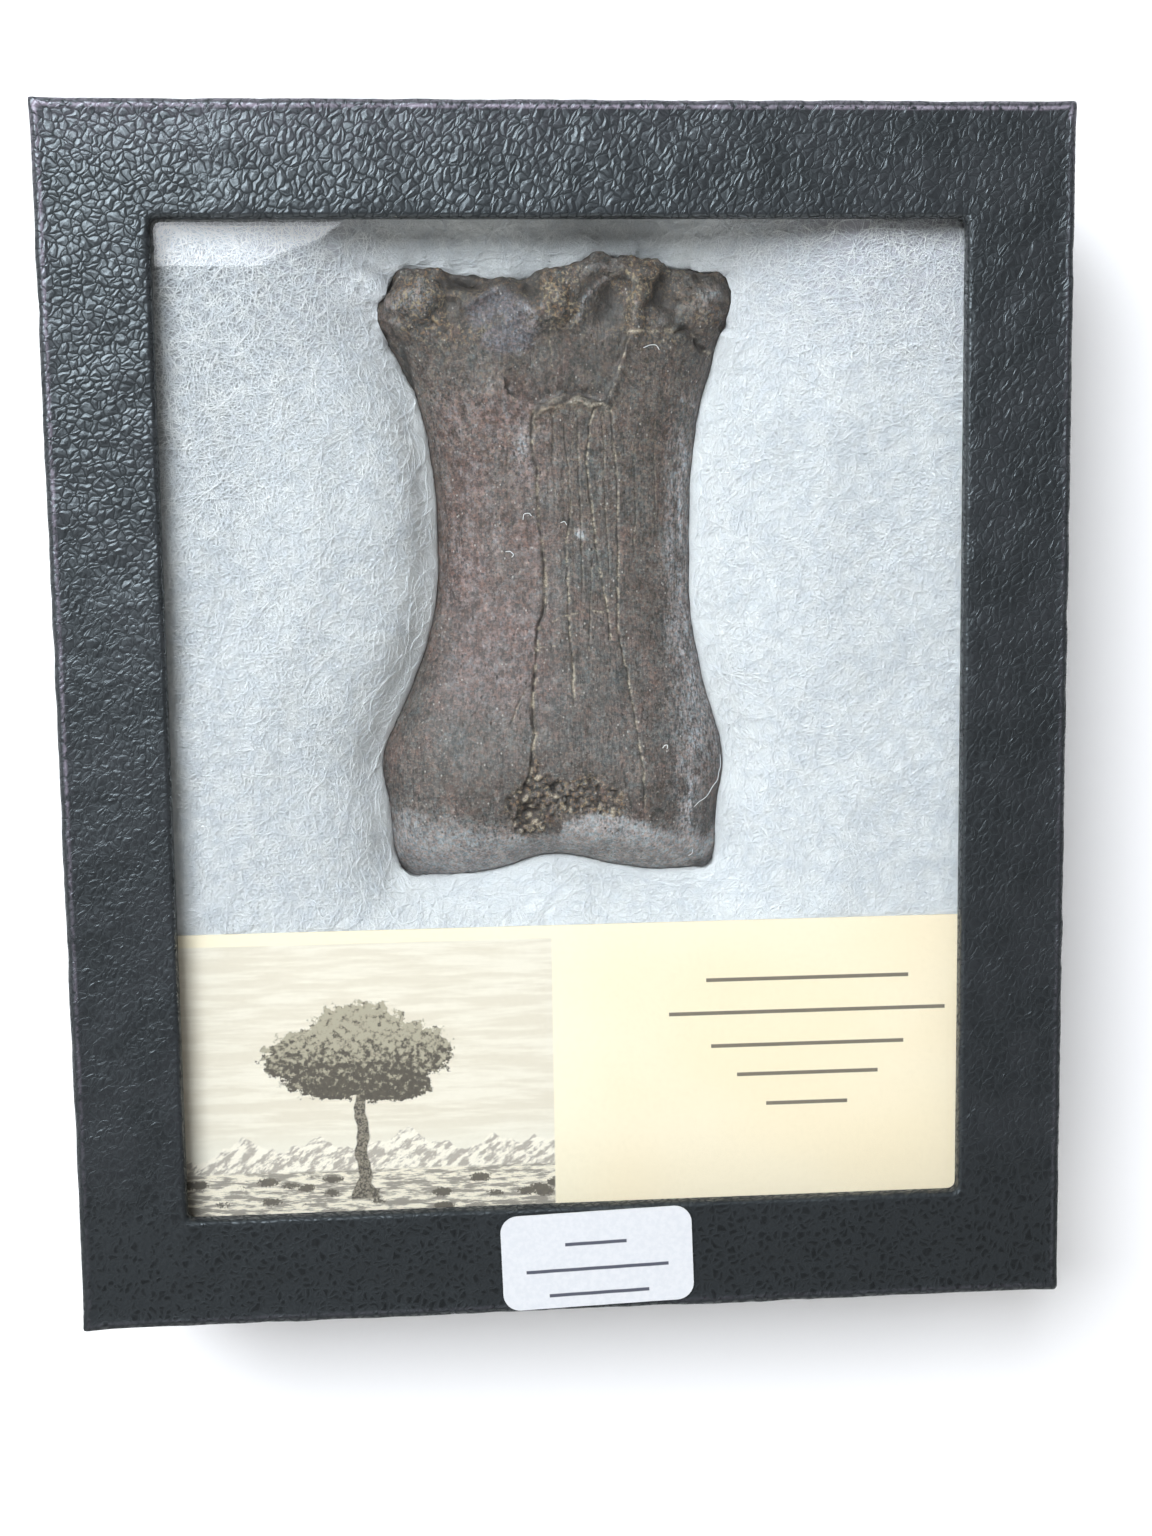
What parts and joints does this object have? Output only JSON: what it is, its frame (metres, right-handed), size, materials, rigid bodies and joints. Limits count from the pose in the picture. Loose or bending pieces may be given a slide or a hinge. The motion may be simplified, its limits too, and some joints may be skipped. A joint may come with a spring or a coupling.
{
  "type": "fossil horse phalanx",
  "caption": "Dark fossil horse toe bone bedded in white fibre behind the glass of a small black leatherette display case, with a cream card and a blank paper label.",
  "frame": {"origin": "centre of the case's underside, with the case lying on its back", "axes": "+X to the case's right, +Y to the case's top, the bone's upper end, and +Z out through the glass"},
  "size_m": [0.1292, 0.1524, 0.0387],
  "materials": {
    "fossil_bone": "dark brown-grey mineralised bone with reddish and grey patches, tan sediment in its cracks and pits, satin",
    "polyester_fibre": "bluish-white polyester fibre, soft and matt",
    "card_stock": "cream card with a printed landscape and plain ruled lines, matt",
    "pane_glass": "clear and glossy",
    "leatherette": "black pebble-grained leatherette on cardboard, semi-gloss",
    "tray_board": "black paper-covered cardboard, matt",
    "label_paper": "white coated paper with plain ruled lines, satin",
    "pin_steel": "polished steel"
  },
  "bodies": {
    "root": {"phalanx": "fossil_bone", "batting": "polyester_fibre", "card": "card_stock", "glass": "pane_glass", "lid": "leatherette", "tray": "tray_board", "sticker": "label_paper", "pin_1": "pin_steel", "pin_2": "pin_steel", "pin_3": "pin_steel", "pin_4": "pin_steel"}
  },
  "joints": []
}
